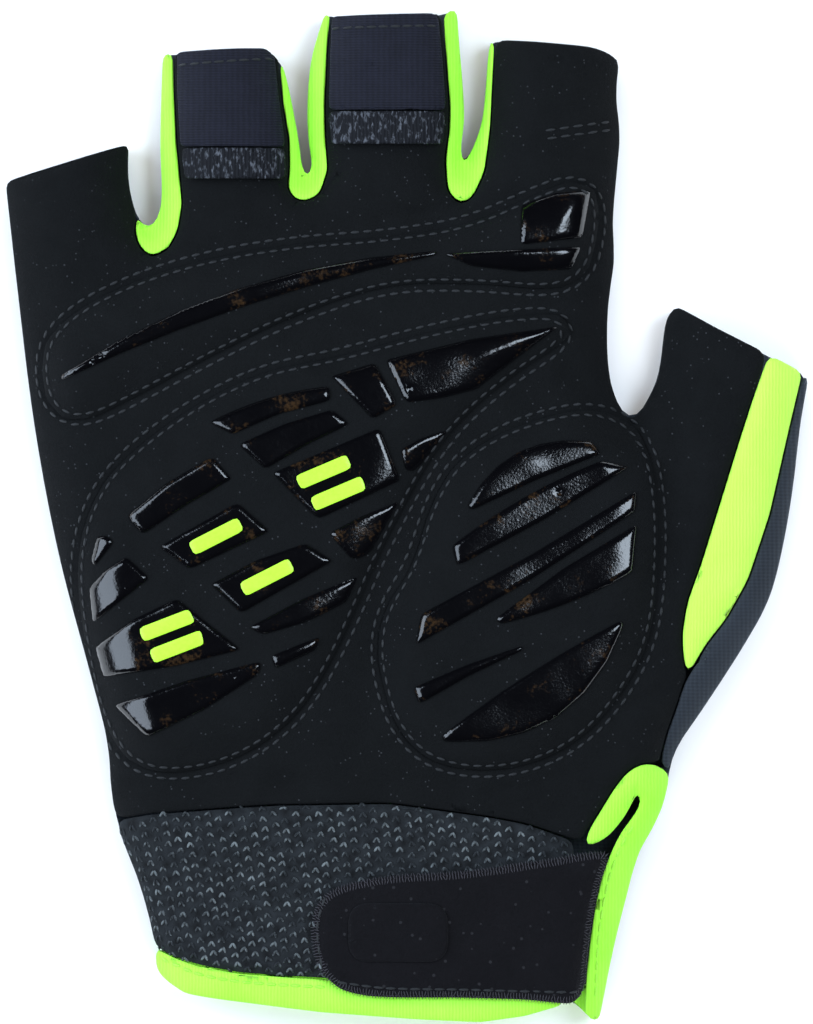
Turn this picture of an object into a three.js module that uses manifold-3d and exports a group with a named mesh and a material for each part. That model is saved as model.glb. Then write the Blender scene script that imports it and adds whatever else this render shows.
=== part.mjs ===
// Fingerless cycling glove for the right hand, lying palm up.
// Millimetres, +X towards the thumb, +Y towards the fingertips, +Z up.
// The origin is at the middle of the glove's footprint, on the surface it lies on.
import * as THREE from "three";
import { mergeVertices } from "three/addons/utils/BufferGeometryUtils.js";
import Module from "manifold-3d";

const wasm = await Module();
wasm.setup();

// Overall sizes
const gloveLength = 173;
const gloveWidth = 137;

// Hollow form: the height of the side seam and the arch of the palm side above it
const seamHeight = 4.6;
const tubeRise = 5.4;
const tubeReach = 9.5;
const domeRise = 2;
const domeReach = 38;
const backReach = 6;
const roundness = 2.2;

// Walls and layers
const palmWall = 1.2;
const backWall = 1;
const clearance = 0.3;
const padThickness = 2.4;
const padRimThickness = 0.5;
const padRim = 9;
const printThickness = 0.6;
const accentThickness = 0.4;
const tabThickness = 1.3;
const tabEdgeLift = 1;
const strapThickness = 1.7;
const strapTuck = 1.1;
const gripThickness = 0.5;
const bindingProud = 0.4;
const bindingFade = 3;

// How finely the cloth is divided
const seamStep = 4.2;
const gapStep = 2.5;
const ringDepths = [2.4, 5.2, 8.8];
const ringRoom = 3.7;
const fillStep = 9.4;
const fillRoom = 5;
const overrun = 11;

// A place on the glove: across from the little-finger edge (0) to the thumb tip (1),
// along from the hem (0) to the middle fingertip (1)
const place = ([across, along]) => new THREE.Vector2((across - 0.5) * gloveWidth, (along - 0.5) * gloveLength);

// Side seams and finger gaps, each a row of places: across, along
const littleSide = [
  [0.188, 0.050], [0.187, 0.072], [0.168, 0.133], [0.141, 0.189], [0.132, 0.227], [0.128, 0.271],
  [0.108, 0.335], [0.067, 0.458], [0.037, 0.583], [0.015, 0.722], [0.004, 0.800], [0.000, 0.828],
];
const littleRingGap = [
  [0.153, 0.860], [0.152, 0.833], [0.157, 0.809], [0.165, 0.789], [0.180, 0.779], [0.192, 0.793],
  [0.195, 0.815], [0.193, 0.858], [0.194, 0.905], [0.196, 0.950],
];
const ringMiddleGap = [
  [0.345, 0.943], [0.352, 0.922], [0.360, 0.890], [0.367, 0.858], [0.369, 0.838], [0.376, 0.829],
  [0.383, 0.838], [0.378, 0.862], [0.376, 0.900], [0.381, 0.947], [0.396, 0.988],
];
const middleIndexGap = [
  [0.562, 0.999], [0.565, 0.962], [0.570, 0.915], [0.571, 0.880], [0.566, 0.856], [0.572, 0.842],
  [0.580, 0.856], [0.592, 0.880], [0.597, 0.907], [0.600, 0.940], [0.603, 0.965],
];
const thumbCrotch = [
  [0.764, 0.943], [0.760, 0.912], [0.765, 0.873], [0.761, 0.835], [0.756, 0.784], [0.758, 0.750],
  [0.751, 0.710], [0.749, 0.666], [0.754, 0.626], [0.768, 0.599], [0.784, 0.586], [0.794, 0.606],
  [0.809, 0.622], [0.818, 0.658], [0.822, 0.690], [0.831, 0.706],
];
const thumbSide = [
  [1.000, 0.634], [0.990, 0.590], [0.980, 0.523], [0.967, 0.464], [0.950, 0.414], [0.915, 0.364],
  [0.871, 0.310], [0.829, 0.258], [0.823, 0.222], [0.806, 0.190], [0.788, 0.165], [0.774, 0.125],
  [0.758, 0.075], [0.740, 0.004],
];

// Where the cloth ends: fingertips, thumb tip and hem
const openEdge = [
  [-0.060, 0.812], [0.000, 0.826], [0.068, 0.842], [0.148, 0.862], [0.172, 0.864], [0.174, 0.948],
  [0.198, 0.952], [0.290, 0.956], [0.335, 0.957], [0.347, 0.950], [0.366, 0.945], [0.370, 0.994],
  [0.396, 0.992], [0.413, 0.988], [0.504, 0.990], [0.542, 0.991], [0.562, 0.998], [0.582, 0.998],
  [0.584, 0.966], [0.603, 0.966], [0.659, 0.963], [0.730, 0.958], [0.752, 0.952], [0.766, 0.944],
  [0.790, 0.938], [0.804, 0.714], [0.832, 0.705], [0.883, 0.682], [0.948, 0.656], [1.000, 0.635],
  [1.060, 0.615], [1.060, 0.020], [0.760, 0.002], [0.728, 0.000], [0.718, 0.010], [0.707, 0.018],
  [0.685, 0.015], [0.647, 0.006], [0.591, 0.000], [0.516, 0.003], [0.394, 0.010], [0.342, 0.015],
  [0.262, 0.023], [0.224, 0.028], [0.197, 0.042], [0.188, 0.051], [0.120, 0.056], [-0.060, 0.300],
];

// Panels of the palm side. A panel reaches past the seams, and ends there with the cloth
const littleRingFourchette = [
  [0.178, 0.812], [0.163, 0.790], [0.161, 0.775], [0.168, 0.760], [0.183, 0.752], [0.203, 0.758],
  [0.216, 0.778], [0.221, 0.804], [0.218, 0.832], [0.214, 0.863], [0.211, 0.912], [0.209, 0.990],
  [0.182, 0.990],
];
const ringMiddleFourchette = [
  [0.354, 0.946], [0.341, 0.944], [0.345, 0.905], [0.353, 0.868], [0.354, 0.838], [0.351, 0.820],
  [0.359, 0.808], [0.374, 0.806], [0.392, 0.813], [0.402, 0.838], [0.399, 0.866], [0.398, 0.900],
  [0.401, 0.955], [0.409, 1.020], [0.366, 1.020],
];
const middleIndexFourchette = [
  [0.542, 1.030], [0.545, 0.980], [0.549, 0.940], [0.553, 0.900], [0.552, 0.873], [0.547, 0.848],
  [0.550, 0.817], [0.566, 0.802], [0.582, 0.810], [0.597, 0.836], [0.604, 0.878], [0.608, 0.940],
  [0.612, 1.000], [0.586, 1.030],
];
const thumbStripe = [
  [0.954, 0.700], [0.948, 0.656], [0.930, 0.616], [0.912, 0.572], [0.889, 0.513], [0.864, 0.449],
  [0.847, 0.412], [0.841, 0.383], [0.842, 0.356], [0.847, 0.342], [0.854, 0.346], [0.869, 0.368],
  [0.897, 0.396], [0.924, 0.434], [0.951, 0.498], [0.974, 0.577], [0.993, 0.640], [1.010, 0.680],
];
const thumbBack = [
  [1.080, 0.660], [1.010, 0.680], [0.993, 0.640], [0.974, 0.577], [0.951, 0.498], [0.924, 0.434],
  [0.897, 0.396], [0.869, 0.368], [0.854, 0.346], [0.844, 0.334], [0.836, 0.312], [0.822, 0.281],
  [0.810, 0.240], [0.900, 0.180], [1.080, 0.400],
];
const wristZone = [
  [0.040, 0.196], [0.147, 0.199], [0.180, 0.204], [0.325, 0.213], [0.479, 0.215], [0.600, 0.202],
  [0.647, 0.195], [0.717, 0.176], [0.723, 0.188], [0.740, 0.208], [0.757, 0.230], [0.773, 0.246],
  [0.790, 0.254], [0.806, 0.254], [0.820, 0.248], [0.880, 0.220], [0.880, -0.060], [0.040, -0.060],
];
const cuffMesh = [
  [0.040, 0.196], [0.147, 0.199], [0.180, 0.204], [0.325, 0.213], [0.479, 0.215], [0.600, 0.202],
  [0.647, 0.195], [0.708, 0.178], [0.708, 0.150], [0.700, 0.100], [0.694, 0.033], [0.600, 0.036],
  [0.480, 0.040], [0.367, 0.044], [0.292, 0.048], [0.243, 0.055], [0.210, 0.063], [0.188, 0.072],
  [0.120, 0.086],
];
const hemBinding = [
  [0.120, 0.086], [0.188, 0.072], [0.210, 0.063], [0.243, 0.055], [0.292, 0.048], [0.367, 0.044],
  [0.480, 0.040], [0.600, 0.036], [0.694, 0.033],
];
const slitBinding = [
  [0.719, 0.170], [0.723, 0.186], [0.740, 0.208], [0.757, 0.230], [0.773, 0.246], [0.790, 0.254],
  [0.806, 0.254], [0.820, 0.248], [0.880, 0.220], [0.880, -0.060], [0.725, -0.060], [0.720, 0.012],
  [0.722, 0.044], [0.727, 0.081], [0.733, 0.113], [0.741, 0.142], [0.752, 0.165], [0.764, 0.185],
  [0.784, 0.206], [0.791, 0.217], [0.786, 0.225], [0.780, 0.214], [0.770, 0.200], [0.755, 0.185],
  [0.740, 0.176],
];
const closureStrap = [
  [0.754, 0.168], [0.690, 0.162], [0.570, 0.149], [0.473, 0.144], [0.407, 0.132], [0.390, 0.122],
  [0.382, 0.101], [0.382, 0.080], [0.388, 0.059], [0.399, 0.042], [0.420, 0.031], [0.447, 0.026],
  [0.570, 0.024], [0.647, 0.022], [0.720, 0.020], [0.722, 0.044], [0.727, 0.081], [0.733, 0.113],
  [0.741, 0.142],
];

// Gel zones, each a closed curve
const knucklePad = [
  [0.050, 0.668], [0.093, 0.700], [0.164, 0.728], [0.255, 0.750], [0.360, 0.764], [0.480, 0.772],
  [0.580, 0.786], [0.655, 0.812], [0.715, 0.828], [0.738, 0.815], [0.736, 0.770], [0.722, 0.732],
  [0.690, 0.720], [0.590, 0.724], [0.480, 0.722], [0.360, 0.692], [0.250, 0.650], [0.150, 0.608],
  [0.090, 0.588], [0.058, 0.600], [0.046, 0.635],
];
const heelPad = [
  [0.096, 0.480], [0.125, 0.532], [0.180, 0.574], [0.252, 0.612], [0.330, 0.640], [0.405, 0.652],
  [0.530, 0.678], [0.640, 0.694], [0.706, 0.692], [0.704, 0.672], [0.660, 0.650], [0.606, 0.618],
  [0.562, 0.586], [0.526, 0.548], [0.490, 0.496], [0.462, 0.452], [0.436, 0.404], [0.405, 0.352],
  [0.370, 0.308], [0.320, 0.272], [0.262, 0.251], [0.205, 0.244], [0.160, 0.252], [0.128, 0.284],
  [0.108, 0.334], [0.094, 0.400], [0.090, 0.440],
];
const thumbPad = [
  [0.470, 0.330], [0.462, 0.372], [0.476, 0.412], [0.505, 0.446], [0.526, 0.500], [0.555, 0.544],
  [0.600, 0.572], [0.660, 0.592], [0.730, 0.602], [0.786, 0.584], [0.808, 0.532], [0.812, 0.455],
  [0.800, 0.374], [0.762, 0.318], [0.712, 0.276], [0.648, 0.252], [0.580, 0.247], [0.525, 0.258],
  [0.488, 0.288],
];

// Silicone prints. Columns: pad, start upper corner, end upper corner, end lower corner,
// start lower corner, bow of the upper edge, bow of the lower edge (shares of the length)
const prints = [
  ["knuckle", [0.070, 0.634], [0.538, 0.757], [0.538, 0.753], [0.072, 0.630], 0.026, 0.012],
  ["knuckle", [0.642, 0.803], [0.728, 0.817], [0.717, 0.770], [0.641, 0.763], 0.004, 0],
  ["knuckle", [0.546, 0.754], [0.716, 0.761], [0.704, 0.739], [0.580, 0.742], 0, -0.004],
  ["heel", [0.407, 0.634], [0.460, 0.647], [0.488, 0.606], [0.458, 0.592], 0, 0],
  ["heel", [0.474, 0.650], [0.688, 0.683], [0.586, 0.621], [0.500, 0.608], 0.004, -0.002],
  ["heel", [0.256, 0.589], [0.404, 0.624], [0.405, 0.610], [0.284, 0.577], 0.006, 0.004],
  ["heel", [0.292, 0.567], [0.407, 0.601], [0.429, 0.587], [0.325, 0.543], 0.003, 0.002],
  ["heel", [0.334, 0.539], [0.466, 0.583], [0.492, 0.532], [0.390, 0.494], 0, 0],
  ["heel", [0.404, 0.480], [0.490, 0.511], [0.457, 0.463], [0.432, 0.455], 0.002, -0.003],
  ["heel", [0.493, 0.562], [0.551, 0.581], [0.519, 0.549], [0.499, 0.541], 0.003, -0.004],
  ["heel", [0.153, 0.497], [0.259, 0.555], [0.283, 0.533], [0.173, 0.479], 0.004, 0.002],
  ["heel", [0.194, 0.467], [0.290, 0.510], [0.330, 0.482], [0.231, 0.445], 0, 0],
  ["heel", [0.258, 0.430], [0.374, 0.470], [0.408, 0.453], [0.295, 0.402], 0.004, 0],
  ["heel", [0.305, 0.388], [0.440, 0.438], [0.426, 0.413], [0.322, 0.381], 0.003, -0.004],
  ["heel", [0.332, 0.360], [0.393, 0.379], [0.388, 0.366], [0.338, 0.348], 0, 0],
  ["heel", [0.116, 0.478], [0.137, 0.472], [0.112, 0.447], [0.108, 0.452], 0.003, 0],
  ["heel", [0.106, 0.426], [0.152, 0.457], [0.181, 0.436], [0.110, 0.392], 0.003, 0],
  ["heel", [0.113, 0.368], [0.215, 0.416], [0.294, 0.366], [0.123, 0.339], 0.004, -0.003],
  ["heel", [0.137, 0.311], [0.321, 0.355], [0.316, 0.342], [0.178, 0.280], 0.003, -0.004],
  ["thumb", [0.574, 0.506], [0.728, 0.570], [0.740, 0.558], [0.578, 0.502], 0.024, 0.002],
  ["thumb", [0.556, 0.468], [0.740, 0.551], [0.775, 0.545], [0.562, 0.448], 0.006, -0.003],
  ["thumb", [0.518, 0.401], [0.785, 0.522], [0.783, 0.502], [0.511, 0.371], -0.003, -0.004],
  ["thumb", [0.609, 0.396], [0.785, 0.489], [0.779, 0.442], [0.615, 0.391], 0.004, -0.005],
  ["thumb", [0.508, 0.329], [0.643, 0.370], [0.644, 0.366], [0.515, 0.313], 0.002, 0.002],
  ["thumb", [0.542, 0.281], [0.766, 0.395], [0.769, 0.391], [0.546, 0.276], 0.005, -0.040],
];

// Plain neon bars. Columns: across, along, turn from the glove's width in degrees
const accentBars = [
  [0.203, 0.390, 21],
  [0.216, 0.369, 21],
  [0.397, 0.540, 23],
  [0.415, 0.519, 23],
  [0.264, 0.477, 27],
  [0.327, 0.437, 27],
];
const accentLength = 9.4;
const accentWidth = 2.5;

// Pull-off tabs. Columns: name, left edge, right edge, free end, start of the lower band
const tabs = [
  {
    name: "ring",
    left: [[0.214, 1.010], [0.215, 0.912], [0.219, 0.862], [0.225, 0.828]],
    right: [[0.350, 0.828], [0.348, 0.868], [0.341, 0.905], [0.336, 0.944], [0.334, 1.010]],
    free: 0.829,
    band: 0.859,
  },
  {
    name: "middle",
    left: [[0.410, 1.050], [0.405, 0.955], [0.403, 0.900], [0.406, 0.862]],
    right: [[0.545, 0.862], [0.548, 0.900], [0.544, 0.945], [0.539, 0.985], [0.534, 1.050]],
    free: 0.863,
    band: 0.895,
  },
];

// Folds of the palm side. Columns: start, end, half width and depth as shares of the length
const folds = [
  [[0.470, 0.786], [0.640, 0.808], 0.012, 0.006],
  [[0.838, 0.610], [0.822, 0.440], 0.014, 0.008],
  [[0.120, 0.225], [0.560, 0.232], 0.016, 0.005],
  [[0.700, 0.640], [0.790, 0.570], 0.014, 0.006],
  [[0.452, 0.300], [0.470, 0.440], 0.020, 0.006],
];

// The strap's plain raised patch: middle, length and width
const gripMiddle = [0.489, 0.089];
const gripLength = 17;
const gripWidth = 10;
const gripCorner = 3;

const points2 = (table) => table.map(place);

// Evenly spaced points on a smooth curve through a table's places
function curvePoints(table, spacing, closed = false) {
  const knots = points2(table).map((p) => new THREE.Vector3(p.x, p.y, 0));
  const curve = new THREE.CatmullRomCurve3(knots, closed, "centripetal");
  const count = Math.max(2, Math.round(curve.getLength() / spacing));
  const spaced = curve.getSpacedPoints(count).map((p) => new THREE.Vector2(p.x, p.y));
  return closed ? spaced.slice(0, -1) : spaced;
}

// A seam carried on straight past both its ends
function extended(line) {
  const first = line[0].clone().sub(line[1]).setLength(overrun).add(line[0]);
  const last = line.at(-1).clone().sub(line.at(-2)).setLength(overrun).add(line.at(-1));
  return [first, ...line, last];
}

const seams = [
  extended(curvePoints(littleSide, seamStep)),
  extended(curvePoints(littleRingGap, gapStep)),
  extended(curvePoints(ringMiddleGap, gapStep)),
  extended(curvePoints(middleIndexGap, gapStep)),
  extended(curvePoints(thumbCrotch, seamStep * 0.8)),
  extended(curvePoints(thumbSide, seamStep)),
];
const formOutline = seams.flat();

function distanceToLine(point, line, closed = false) {
  let nearest = Infinity;
  const last = closed ? line.length : line.length - 1;
  for (let i = 0; i < last; i += 1) {
    const start = line[i];
    const end = line[(i + 1) % line.length];
    const run = end.clone().sub(start);
    const along = THREE.MathUtils.clamp(point.clone().sub(start).dot(run) / run.lengthSq(), 0, 1);
    nearest = Math.min(nearest, start.clone().addScaledVector(run, along).distanceTo(point));
  }
  return nearest;
}

function isInside(point, outline) {
  let inside = false;
  outline.forEach((a, i) => {
    const b = outline[(i + 1) % outline.length];
    if (a.y > point.y === b.y > point.y) return;
    if (point.x < ((b.x - a.x) * (point.y - a.y)) / (b.y - a.y) + a.x) inside = !inside;
  });
  return inside;
}

const seamDistance = (point) => Math.min(...seams.map((line) => distanceToLine(point, line)));

const padOutlines = {
  knuckle: curvePoints(knucklePad, 5, true),
  heel: curvePoints(heelPad, 5, true),
  thumb: curvePoints(thumbPad, 5, true),
};

// The cloth's points: on the seams, on rings inside them, on the gel zones' edges, and a plain fill
function clothPoints() {
  const found = [];
  const add = (x, y, room) => {
    const point = new THREE.Vector2(x, y);
    if (found.some((other) => other.distanceTo(point) < room)) return;
    if (!isInside(point, formOutline)) return;
    found.push(point);
  };
  formOutline.forEach((point) => found.push(point.clone()));
  for (const depth of ringDepths) {
    for (const line of seams) {
      line.forEach((point, i) => {
        const run = line[Math.min(i + 1, line.length - 1)].clone().sub(line[Math.max(i - 1, 0)]).normalize();
        const ring = new THREE.Vector2(point.x + run.y * depth, point.y - run.x * depth);
        if (seamDistance(ring) > depth * 0.9) add(ring.x, ring.y, ringRoom);
      });
    }
  }
  for (const outline of Object.values(padOutlines)) {
    for (const point of outline) {
      if (seamDistance(point) > ringDepths[0]) add(point.x, point.y, ringRoom);
    }
  }
  const rows = Math.ceil((gloveLength + 2 * overrun) / fillStep);
  const columns = Math.ceil(gloveWidth / fillStep);
  for (let row = 0; row <= rows; row += 1) {
    for (let column = 0; column <= columns; column += 1) {
      const x = (column + (row % 2) / 2) * fillStep - gloveWidth / 2;
      const y = row * fillStep - gloveLength / 2 - overrun;
      const sway = 0.3 * Math.sin(7 * x + 3 * y);
      const point = new THREE.Vector2(x + sway, y - sway);
      if (seamDistance(point) > ringDepths[0]) add(point.x, point.y, fillRoom);
    }
  }
  return found.map((point) => ({ x: point.x, y: point.y, depth: seamDistance(point) }));
}

function circumcircle(points, corners) {
  const [a, b, c] = corners.map((index) => points[index]);
  const bx = b.x - a.x;
  const by = b.y - a.y;
  const cx = c.x - a.x;
  const cy = c.y - a.y;
  const double = 2 * (bx * cy - by * cx);
  const x = (cy * (bx * bx + by * by) - by * (cx * cx + cy * cy)) / double;
  const y = (bx * (cx * cx + cy * cy) - cx * (bx * bx + by * by)) / double;
  const turned = double < 0 ? [corners[0], corners[2], corners[1]] : corners;
  return { corners: turned, x: a.x + x, y: a.y + y, radius: Math.hypot(x, y) };
}

// Delaunay triangles between the points, by adding one point after another
function triangulated(points) {
  const far = 100 * gloveLength;
  const frame = [{ x: -far, y: -far }, { x: far, y: -far }, { x: 0, y: far }];
  const all = [...points, ...frame];
  const count = points.length;
  let triangles = [circumcircle(all, [count, count + 1, count + 2])];
  points.forEach((point, index) => {
    const rim = new Map();
    const kept = [];
    for (const triangle of triangles) {
      if (Math.hypot(point.x - triangle.x, point.y - triangle.y) >= triangle.radius) {
        kept.push(triangle);
        continue;
      }
      triangle.corners.forEach((start, i) => {
        const end = triangle.corners[(i + 1) % 3];
        const key = start < end ? `${start}-${end}` : `${end}-${start}`;
        if (rim.has(key)) rim.delete(key);
        else rim.set(key, [start, end]);
      });
    }
    for (const [start, end] of rim.values()) kept.push(circumcircle(all, [start, end, index]));
    triangles = kept;
  });
  const whole = triangles.filter((triangle) => triangle.corners.every((index) => index < count));
  return whole.map((triangle) => triangle.corners);
}

const clothGrid = clothPoints();
const clothTriangles = triangulated(clothGrid).filter((corners) => {
  const middle = new THREE.Vector2();
  corners.forEach((index) => middle.add(clothGrid[index]));
  return isInside(middle.divideScalar(3), formOutline);
});

function solidFrom(positions, faces) {
  return new wasm.Manifold(new wasm.Mesh({
    numProp: 3,
    vertProperties: new Float32Array(positions),
    triVerts: new Uint32Array(faces),
  }));
}

// A sheet of cloth between two surfaces, each a height for a point of the grid
function sheet(bottom, top) {
  const count = clothGrid.length;
  const positions = [];
  for (const point of clothGrid) positions.push(point.x, point.y, top(point));
  for (const point of clothGrid) positions.push(point.x, point.y, bottom(point));
  const faces = [];
  const edges = new Set();
  for (const corners of clothTriangles) {
    corners.forEach((start, i) => edges.add(`${start}-${corners[(i + 1) % 3]}`));
  }
  for (const [a, b, c] of clothTriangles) {
    faces.push(a, b, c, a + count, c + count, b + count);
    for (const [start, end] of [[a, b], [b, c], [c, a]]) {
      if (edges.has(`${end}-${start}`)) continue;
      faces.push(start, start + count, end + count, start, end + count, end);
    }
  }
  return solidFrom(positions, faces);
}

// An outline moved outwards by a distance, or inwards by a negative one
function grown(outline, distance) {
  const turned = THREE.ShapeUtils.isClockWise(outline) ? [...outline].reverse() : outline;
  return turned.map((point, i) => {
    const before = turned[(i + turned.length - 1) % turned.length];
    const after = turned[(i + 1) % turned.length];
    const first = point.clone().sub(before).normalize();
    const second = after.clone().sub(point).normalize();
    const normal = new THREE.Vector2(first.y + second.y, -first.x - second.x).normalize();
    const stretch = Math.max(0.5, normal.x * first.y - normal.y * first.x);
    return point.clone().addScaledVector(normal, distance / stretch);
  });
}

// An upright prism, taller than the glove
function prism(outline) {
  const high = 10 * (seamHeight + tubeRise + domeRise);
  const block = new THREE.ExtrudeGeometry(new THREE.Shape(outline), { depth: high, bevelEnabled: false });
  block.translate(0, 0, -high / 2);
  block.deleteAttribute("normal");
  block.deleteAttribute("uv");
  const merged = mergeVertices(block, 1e-5);
  return solidFrom(merged.attributes.position.array, merged.index.array);
}

const inset = (outline) => prism(grown(outline, -clearance / 2));
const outset = (outline) => prism(grown(outline, clearance / 2));

// Heights of the two sides of the hollow. Depth is the distance from the nearest seam
const rounded = (share) => 1 - (1 - Math.min(1, share)) ** roundness;
const slope = (depth, rise, reach) => (roundness * rise * (1 - Math.min(1, depth / reach)) ** (roundness - 1)) / reach;
const slant = (depth, rise, reach) => Math.hypot(1, slope(depth, rise, reach));
const foldLines = folds.map(([start, end, width, depth]) => ({
  line: [place(start), place(end)],
  width: width * gloveLength,
  depth: depth * gloveLength,
}));

function foldDepth(point) {
  const here = new THREE.Vector2(point.x, point.y);
  let total = 0;
  for (const fold of foldLines) {
    total += fold.depth * Math.exp(-((distanceToLine(here, fold.line) / fold.width) ** 2));
  }
  return total * rounded(point.depth / tubeReach);
}

function palmInner(point) {
  const tube = tubeRise * rounded(point.depth / tubeReach);
  const dome = domeRise * (0.5 - 0.5 * Math.cos(Math.PI * Math.min(1, point.depth / domeReach)));
  return seamHeight + clearance / 2 + tube + dome - foldDepth(point);
}
const palmOuter = (point) => palmInner(point) + palmWall * slant(point.depth, tubeRise, tubeReach);

const backEdge = seamHeight - clearance / 2 - backWall * slant(0, seamHeight, backReach);
const backOuter = (point) => backEdge * (1 - rounded(point.depth / backReach));
const backInner = (point) => backOuter(point) + backWall * slant(point.depth, seamHeight, backReach);

const raised = (surface, amount) => (point) => surface(point) + amount;

// A binding stands proud of the cloth, except at the side seams
const proud = (surface, amount) => (point) => surface(point) + amount * Math.min(1, point.depth / bindingFade);

const palmSheet = sheet(palmInner, palmOuter).intersect(prism(points2(openEdge)));
const backSheet = sheet(backOuter, backInner).intersect(prism(points2(openEdge)));
const palmBindingSheet = sheet(proud(palmInner, -bindingProud), raised(palmOuter, bindingProud))
  .intersect(prism(points2(openEdge)));
const backBindingSheet = sheet(backOuter, proud(backInner, bindingProud)).intersect(prism(points2(openEdge)));

const glove = new THREE.Group();
const materials = {
  suede: { color: 0x18191b, roughness: 0.9, metalness: 0 },
  stretch: { color: 0x28303a, roughness: 0.8, metalness: 0 },
  neon: { color: 0xa8f848, roughness: 0.7, metalness: 0 },
  neonStripe: { color: 0xc4fb70, roughness: 0.7, metalness: 0 },
  silicone: { color: 0x0b0b0d, roughness: 0.2, metalness: 0 },
  accent: { color: 0xc8ff32, roughness: 0.5, metalness: 0 },
  navy: { color: 0x232637, roughness: 0.85, metalness: 0 },
  navySpeck: { color: 0x343848, roughness: 0.85, metalness: 0 },
  knit: { color: 0x2d3234, roughness: 0.95, metalness: 0 },
  webbing: { color: 0x1c1d20, roughness: 0.9, metalness: 0 },
};

function addPiece(name, solid, finish) {
  const mesh = solid.getMesh();
  const geometry = new THREE.BufferGeometry();
  geometry.setAttribute("position", new THREE.Float32BufferAttribute(mesh.vertProperties, 3));
  geometry.setIndex(new THREE.Uint32BufferAttribute(mesh.triVerts, 1));
  geometry.computeVertexNormals();
  const piece = new THREE.Mesh(geometry, new THREE.MeshStandardMaterial(materials[finish]));
  piece.name = name;
  glove.add(piece);
}

// Palm side panels, cut from one sheet
const upperPanels = [
  ["fourchette_little_ring", littleRingFourchette, "neon"],
  ["fourchette_ring_middle", ringMiddleFourchette, "neon"],
  ["fourchette_middle_index", middleIndexFourchette, "neon"],
  ["thumb_stripe", thumbStripe, "neonStripe"],
];
const wristCut = outset(points2(wristZone));
let palm = palmSheet.subtract(wristCut).subtract(outset(points2(thumbBack)));
for (const [name, table, finish] of upperPanels) {
  addPiece(name, palmSheet.intersect(inset(points2(table))), finish);
  palm = palm.subtract(outset(points2(table)));
}
addPiece("palm_panel", palm, "suede");
const stripeCut = outset(points2(thumbStripe));
addPiece("thumb_back", palmSheet.intersect(inset(points2(thumbBack))).subtract(stripeCut).subtract(wristCut), "stretch");

// Wrist
const hemZone = [...hemBinding, [0.694, -0.060], [0.120, -0.060]];
const backHemZone = [...hemBinding, [0.860, 0.033], [0.860, -0.060], [0.120, -0.060]];
addPiece("cuff_mesh", palmSheet.intersect(inset(points2(cuffMesh))), "knit");
addPiece("hem_binding_palm", palmBindingSheet.intersect(inset(points2(hemZone))), "neon");
addPiece("slit_binding", palmBindingSheet.intersect(inset(points2(slitBinding))), "neon");

const strapLow = bindingProud + clearance;
const strapEnd = 2.6;
const strapDrop = 3.2;
function strapLift(point) {
  const share = THREE.MathUtils.smoothstep(point.depth, strapEnd, strapEnd + strapDrop);
  return strapLow - strapTuck * (1 - share);
}
const strapUnder = (point) => palmOuter(point) + strapLift(point);
const strapOver = raised(strapUnder, strapThickness);
const strapOutline = inset(curvePoints(closureStrap, 4, true));
addPiece("closure_strap", sheet(strapUnder, strapOver).intersect(strapOutline), "webbing");

function roundedPatch(middle, length, width, corner) {
  const patch = new THREE.Shape();
  patch.moveTo(corner - length / 2, -width / 2);
  patch.absarc(length / 2 - corner, corner - width / 2, corner, -Math.PI / 2, 0);
  patch.absarc(length / 2 - corner, width / 2 - corner, corner, 0, Math.PI / 2);
  patch.absarc(corner - length / 2, width / 2 - corner, corner, Math.PI / 2, Math.PI);
  patch.absarc(corner - length / 2, corner - width / 2, corner, Math.PI, 1.5 * Math.PI);
  return patch.getPoints(3).slice(0, -1).map((point) => point.add(place(middle)));
}
const gripUnder = raised(strapOver, clearance);
const gripOutline = roundedPatch(gripMiddle, gripLength, gripWidth, gripCorner);
addPiece("strap_grip", sheet(gripUnder, raised(gripUnder, gripThickness)).intersect(prism(gripOutline)), "webbing");

// Back of the hand
addPiece("back_panel", backSheet.subtract(outset(points2(backHemZone))), "stretch");
addPiece("hem_binding_back", backBindingSheet.intersect(inset(points2(backHemZone))), "neon");

// Gel zones and what is printed on them
const padUnder = raised(palmOuter, clearance);
const padOver = (name) => (point) => {
  const here = new THREE.Vector2(point.x, point.y);
  const outline = padOutlines[name];
  const depth = isInside(here, outline) ? distanceToLine(here, outline, true) : 0;
  return padUnder(point) + padRimThickness + (padThickness - padRimThickness) * rounded(depth / padRim);
};
const printUnder = {};
const printSheets = {};
const printCounts = {};
for (const name of Object.keys(padOutlines)) {
  addPiece(`${name}_pad`, sheet(padUnder, padOver(name)).intersect(inset(padOutlines[name])), "suede");
  printUnder[name] = raised(padOver(name), clearance);
  printSheets[name] = sheet(printUnder[name], raised(printUnder[name], printThickness));
  printCounts[name] = 0;
}

// One long edge of a print, bowed sideways in the middle
function bowedEdge(start, end, bow) {
  const from = place(start);
  const to = place(end);
  const run = to.clone().sub(from);
  const side = new THREE.Vector2(-run.y, run.x).normalize().multiplyScalar(2 * bow * gloveLength);
  const middle = from.clone().add(to).multiplyScalar(0.5).add(side);
  const count = Math.abs(bow) < 0.005 ? 2 : 6;
  return new THREE.QuadraticBezierCurve(from, middle, to).getPoints(count);
}

for (const [pad, startUpper, endUpper, endLower, startLower, upperBow, lowerBow] of prints) {
  const upper = bowedEdge(startUpper, endUpper, upperBow);
  const lower = bowedEdge(startLower, endLower, lowerBow).reverse();
  printCounts[pad] += 1;
  const name = `${pad}_print_${printCounts[pad]}`;
  addPiece(name, printSheets[pad].intersect(prism([...upper, ...lower])), "silicone");
}

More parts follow.
